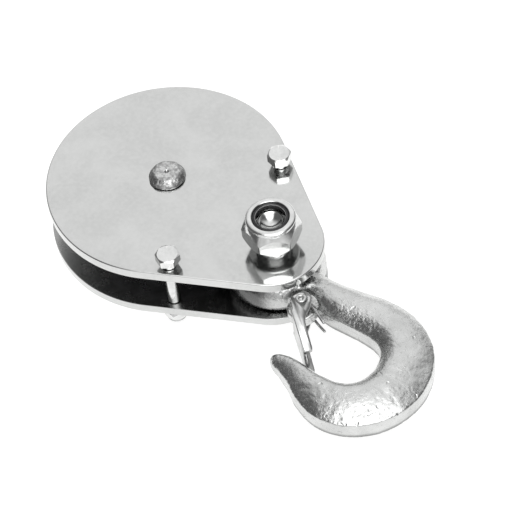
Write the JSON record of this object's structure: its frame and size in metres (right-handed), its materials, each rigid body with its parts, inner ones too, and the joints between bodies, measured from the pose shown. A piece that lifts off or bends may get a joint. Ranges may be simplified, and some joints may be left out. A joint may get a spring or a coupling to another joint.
{
  "type": "rope block with latched eye hook",
  "caption": "Rope block: a grooved sheave on a ball bearing between teardrop steel cheek plates, with a bolted, swinging eye hook that has a sprung safety latch.",
  "frame": {"origin": "centre of the bounding box in plan, level with the underside of the hook bolt's head", "axes": "+X from the sheave axle to the hook bolt and hook, +Z along the sheave axle through the cheek plates, from the bolt head side to the lock nut side"},
  "size_m": [0.1766, 0.09, 0.047],
  "materials": {
    "cheek_zinc": "zinc plated, satin with a faint mottle",
    "hook_zinc": "zinc plated over a rough forged surface",
    "fastener_zinc": "bright zinc plate",
    "latch_zinc": "zinc plated pressed sheet",
    "sheave_steel": "turned steel, dark and lightly oiled",
    "bearing_steel": "ground bearing steel",
    "spring_steel": "hard-drawn spring steel",
    "nylon": "black nylon"
  },
  "bodies": {
    "block": {"lower_cheek_plate": "cheek_zinc", "upper_cheek_plate": "cheek_zinc", "sheave_axle": "fastener_zinc", "axle_spacer_lower": "sheave_steel", "axle_spacer_upper": "sheave_steel", "bearing_inner_race": "bearing_steel", "hook_bolt": "fastener_zinc", "hook_nut": "fastener_zinc", "hook_nut_insert": "nylon", "hook_bush": "sheave_steel", "guard_bolt_left": "fastener_zinc", "guard_bolt_right": "fastener_zinc", "guard_nut_left": "fastener_zinc", "guard_nut_right": "fastener_zinc", "guard_nut_left_insert": "nylon", "guard_nut_right_insert": "nylon"},
    "sheave_wheel": {"sheave": "sheave_steel", "bearing_outer_race": "bearing_steel", "bearing_shield_lower": "bearing_steel", "bearing_shield_upper": "bearing_steel", "bearing_retaining_ring": "spring_steel"},
    "ball_set": {"bearing_cage": "spring_steel", "bearing_ball_1": "bearing_steel", "bearing_ball_2": "bearing_steel", "bearing_ball_3": "bearing_steel", "bearing_ball_4": "bearing_steel", "bearing_ball_5": "bearing_steel", "bearing_ball_6": "bearing_steel", "bearing_ball_7": "bearing_steel"},
    "load_hook": {"hook": "hook_zinc", "latch_pin": "fastener_zinc", "latch_spring": "spring_steel"},
    "safety_latch": {"latch": "latch_zinc"}
  },
  "joints": [
    {"name": "sheave_spin", "type": "hinge", "parent": "block", "child": "sheave_wheel", "pos_m": [-0.043, 0, 0.0191], "axis": [0, 0, 1], "continuous": true},
    {"name": "ball_set_spin", "type": "hinge", "parent": "block", "child": "ball_set", "pos_m": [-0.043, 0, 0.0191], "axis": [0, 0, 1], "continuous": true},
    {"name": "hook_swing", "type": "hinge", "parent": "block", "child": "load_hook", "pos_m": [0.00925, 0, 0.0191], "axis": [0, 0, 1], "range_deg": [-62.7, 97.3]},
    {"name": "latch_swing", "type": "hinge", "parent": "load_hook", "child": "safety_latch", "pos_m": [0.03041, -0.00973, 0.0191], "axis": [0, 0, 1], "range_deg": [0, 35], "stiffness_Nm_per_rad": 0.08, "springref_deg": -20.05, "deforming": ["latch_spring"]}
  ],
  "couplings": [
    {"joint": "ball_set_spin", "follows": "sheave_spin", "ratio": 0.617}
  ]
}
